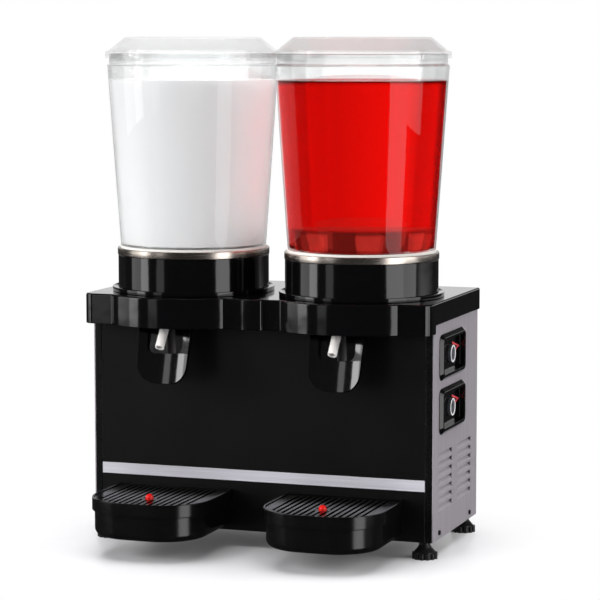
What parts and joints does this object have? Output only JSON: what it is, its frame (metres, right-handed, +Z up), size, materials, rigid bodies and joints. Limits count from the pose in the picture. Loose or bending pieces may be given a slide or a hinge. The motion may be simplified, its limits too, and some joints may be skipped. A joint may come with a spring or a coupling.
{
  "type": "cold drink dispenser",
  "caption": "Counter-top chilled drink dispenser with clear lidded bowls side by side on a black cabinet, push-lever taps and drip trays.",
  "frame": {"origin": "on the counter under the middle of the machine", "axes": "+X to the machine's right seen from the front, +Y to its back, +Z up"},
  "size_m": [0.426, 0.3226, 0.5955],
  "materials": {
    "gloss_black_abs": "high gloss moulding",
    "satin_black_panel": "satin powder coat",
    "satin_black_plastic": "fine texture",
    "silver_foil": "satin",
    "brushed_stainless": "brushed",
    "galvanised_sheet": "plain",
    "black_screw": "blackened",
    "zinc_steel": "plated",
    "clear_polycarbonate": "clear",
    "white_silicone": "matte",
    "dark_agitator_plastic": "moulded",
    "red_plastic": "moulded",
    "grey_knob": "moulded",
    "black_foot": "matte",
    "magnet_steel": "plain",
    "motor_shell": "plain",
    "black_compressor": "painted",
    "copper": "plain",
    "insulating_foam": "matte",
    "pale_plastic": "plain"
  },
  "bodies": {
    "cabinet": {"base_pan": "satin_black_panel", "foot_nuts": "zinc_steel", "front_panel": "satin_black_panel", "trim_stripe": "silver_foil", "corner_posts": "satin_black_plastic", "left_side_panel": "brushed_stainless", "right_side_panel": "brushed_stainless", "rear_panel": "galvanised_sheet", "panel_screws": "black_screw", "top_cover": "gloss_black_abs", "left_collar": "gloss_black_abs", "right_collar": "gloss_black_abs", "left_evaporator": "brushed_stainless", "right_evaporator": "brushed_stainless", "evaporator_coils": "copper", "foam_rings": "insulating_foam", "mixer_motors": "motor_shell", "left_outlet_tube": "white_silicone", "right_outlet_tube": "white_silicone", "tap_brackets": "galvanised_sheet", "lever_pins": "zinc_steel", "left_tap_spring": "zinc_steel", "right_tap_spring": "zinc_steel", "upper_switch_bezel": "gloss_black_abs", "lower_switch_bezel": "gloss_black_abs", "switch_bodies": "satin_black_plastic", "compressor": "black_compressor", "compressor_grommets": "black_foot", "condenser": "motor_shell", "fan_shroud": "satin_black_plastic", "fan_motor": "motor_shell", "filter_drier": "copper", "copper_lines": "copper", "terminal_box": "pale_plastic", "power_inlet": "satin_black_plastic"},
    "left_bowl_unit": {"left_bowl": "clear_polycarbonate", "left_gasket": "white_silicone"},
    "left_lid_unit": {"left_lid": "clear_polycarbonate"},
    "left_agitator_unit": {"left_agitator": "dark_agitator_plastic"},
    "left_drive_magnet_unit": {"left_drive_magnet": "magnet_steel"},
    "left_tap_lever_unit": {"left_tap_lever": "gloss_black_abs"},
    "left_drip_tray_unit": {"left_drip_tray": "satin_black_plastic"},
    "left_drip_grille_unit": {"left_drip_grille": "satin_black_plastic"},
    "left_float_unit": {"left_float": "red_plastic"},
    "right_bowl_unit": {"right_bowl": "clear_polycarbonate", "right_gasket": "white_silicone"},
    "right_lid_unit": {"right_lid": "clear_polycarbonate"},
    "right_agitator_unit": {"right_agitator": "dark_agitator_plastic"},
    "right_drive_magnet_unit": {"right_drive_magnet": "magnet_steel"},
    "right_tap_lever_unit": {"right_tap_lever": "gloss_black_abs"},
    "right_drip_tray_unit": {"right_drip_tray": "satin_black_plastic"},
    "right_drip_grille_unit": {"right_drip_grille": "satin_black_plastic"},
    "right_float_unit": {"right_float": "red_plastic"},
    "upper_switch_knob_unit": {"upper_switch_knob": "grey_knob"},
    "lower_switch_knob_unit": {"lower_switch_knob": "grey_knob"},
    "fan_blade_unit": {"fan_blade": "pale_plastic"},
    "front_left_foot_unit": {"front_left_foot": "black_foot"},
    "front_right_foot_unit": {"front_right_foot": "black_foot"},
    "rear_left_foot_unit": {"rear_left_foot": "black_foot"},
    "rear_right_foot_unit": {"rear_right_foot": "black_foot"}
  },
  "joints": [
    {"name": "left_bowl_lift", "type": "slide", "parent": "cabinet", "child": "left_bowl_unit", "axis": [0, 0, 1], "range_m": [0, 0.06]},
    {"name": "left_lid_lift", "type": "slide", "parent": "left_bowl_unit", "child": "left_lid_unit", "axis": [0, 0, 1], "range_m": [0, 0.06]},
    {"name": "left_magnet_spin", "type": "hinge", "parent": "cabinet", "child": "left_drive_magnet_unit", "pos_m": [-0.105, 0.02675, 0.33], "axis": [0, 0, 1], "continuous": true},
    {"name": "left_agitator_spin", "type": "hinge", "parent": "cabinet", "child": "left_agitator_unit", "pos_m": [-0.105, 0.02675, 0.355], "axis": [0, 0, 1], "continuous": true},
    {"name": "left_lever_push", "type": "hinge", "parent": "cabinet", "child": "left_tap_lever_unit", "pos_m": [-0.105, -0.05575, 0.272], "axis": [1, 0, 0], "range_deg": [0, 15], "stiffness_Nm_per_rad": 0.8, "springref_deg": -11.46, "deforming": ["left_tap_spring"]},
    {"name": "left_tray_pull", "type": "slide", "parent": "cabinet", "child": "left_drip_tray_unit", "axis": [0, -1, 0], "range_m": [0, 0.15]},
    {"name": "left_grille_lift", "type": "slide", "parent": "left_drip_tray_unit", "child": "left_drip_grille_unit", "axis": [0, 0, 1], "range_m": [0, 0.04]},
    {"name": "left_float_rise", "type": "slide", "parent": "left_drip_tray_unit", "child": "left_float_unit", "axis": [0, 0, 1], "range_m": [0, 0.012]},
    {"name": "right_bowl_lift", "type": "slide", "parent": "cabinet", "child": "right_bowl_unit", "axis": [0, 0, 1], "range_m": [0, 0.06]},
    {"name": "right_lid_lift", "type": "slide", "parent": "right_bowl_unit", "child": "right_lid_unit", "axis": [0, 0, 1], "range_m": [0, 0.06]},
    {"name": "right_magnet_spin", "type": "hinge", "parent": "cabinet", "child": "right_drive_magnet_unit", "pos_m": [0.105, 0.02675, 0.33], "axis": [0, 0, 1], "continuous": true},
    {"name": "right_agitator_spin", "type": "hinge", "parent": "cabinet", "child": "right_agitator_unit", "pos_m": [0.105, 0.02675, 0.355], "axis": [0, 0, 1], "continuous": true},
    {"name": "right_lever_push", "type": "hinge", "parent": "cabinet", "child": "right_tap_lever_unit", "pos_m": [0.105, -0.05575, 0.272], "axis": [1, 0, 0], "range_deg": [0, 15], "stiffness_Nm_per_rad": 0.8, "springref_deg": -11.46, "deforming": ["right_tap_spring"]},
    {"name": "right_tray_pull", "type": "slide", "parent": "cabinet", "child": "right_drip_tray_unit", "axis": [0, -1, 0], "range_m": [0, 0.15]},
    {"name": "right_grille_lift", "type": "slide", "parent": "right_drip_tray_unit", "child": "right_drip_grille_unit", "axis": [0, 0, 1], "range_m": [0, 0.04]},
    {"name": "right_float_rise", "type": "slide", "parent": "right_drip_tray_unit", "child": "right_float_unit", "axis": [0, 0, 1], "range_m": [0, 0.012]},
    {"name": "upper_knob_turn", "type": "hinge", "parent": "cabinet", "child": "upper_switch_knob_unit", "pos_m": [0.2095, 0.04275, 0.23], "axis": [1, 0, 0], "range_deg": [0, 90]},
    {"name": "lower_knob_turn", "type": "hinge", "parent": "cabinet", "child": "lower_switch_knob_unit", "pos_m": [0.2095, 0.04275, 0.1675], "axis": [1, 0, 0], "range_deg": [0, 90]},
    {"name": "fan_spin", "type": "hinge", "parent": "cabinet", "child": "fan_blade_unit", "pos_m": [0.151, 0.06375, 0.0752], "axis": [1, 0, 0], "continuous": true},
    {"name": "front_left_foot_level", "type": "slide", "parent": "cabinet", "child": "front_left_foot_unit", "axis": [0, 0, -1], "range_m": [0, 0.01]},
    {"name": "front_right_foot_level", "type": "slide", "parent": "cabinet", "child": "front_right_foot_unit", "axis": [0, 0, -1], "range_m": [0, 0.01]},
    {"name": "rear_left_foot_level", "type": "slide", "parent": "cabinet", "child": "rear_left_foot_unit", "axis": [0, 0, -1], "range_m": [0, 0.01]},
    {"name": "rear_right_foot_level", "type": "slide", "parent": "cabinet", "child": "rear_right_foot_unit", "axis": [0, 0, -1], "range_m": [0, 0.01]}
  ],
  "couplings": [
    {"joint": "left_agitator_spin", "follows": "left_magnet_spin", "ratio": 1},
    {"joint": "right_agitator_spin", "follows": "right_magnet_spin", "ratio": 1}
  ]
}
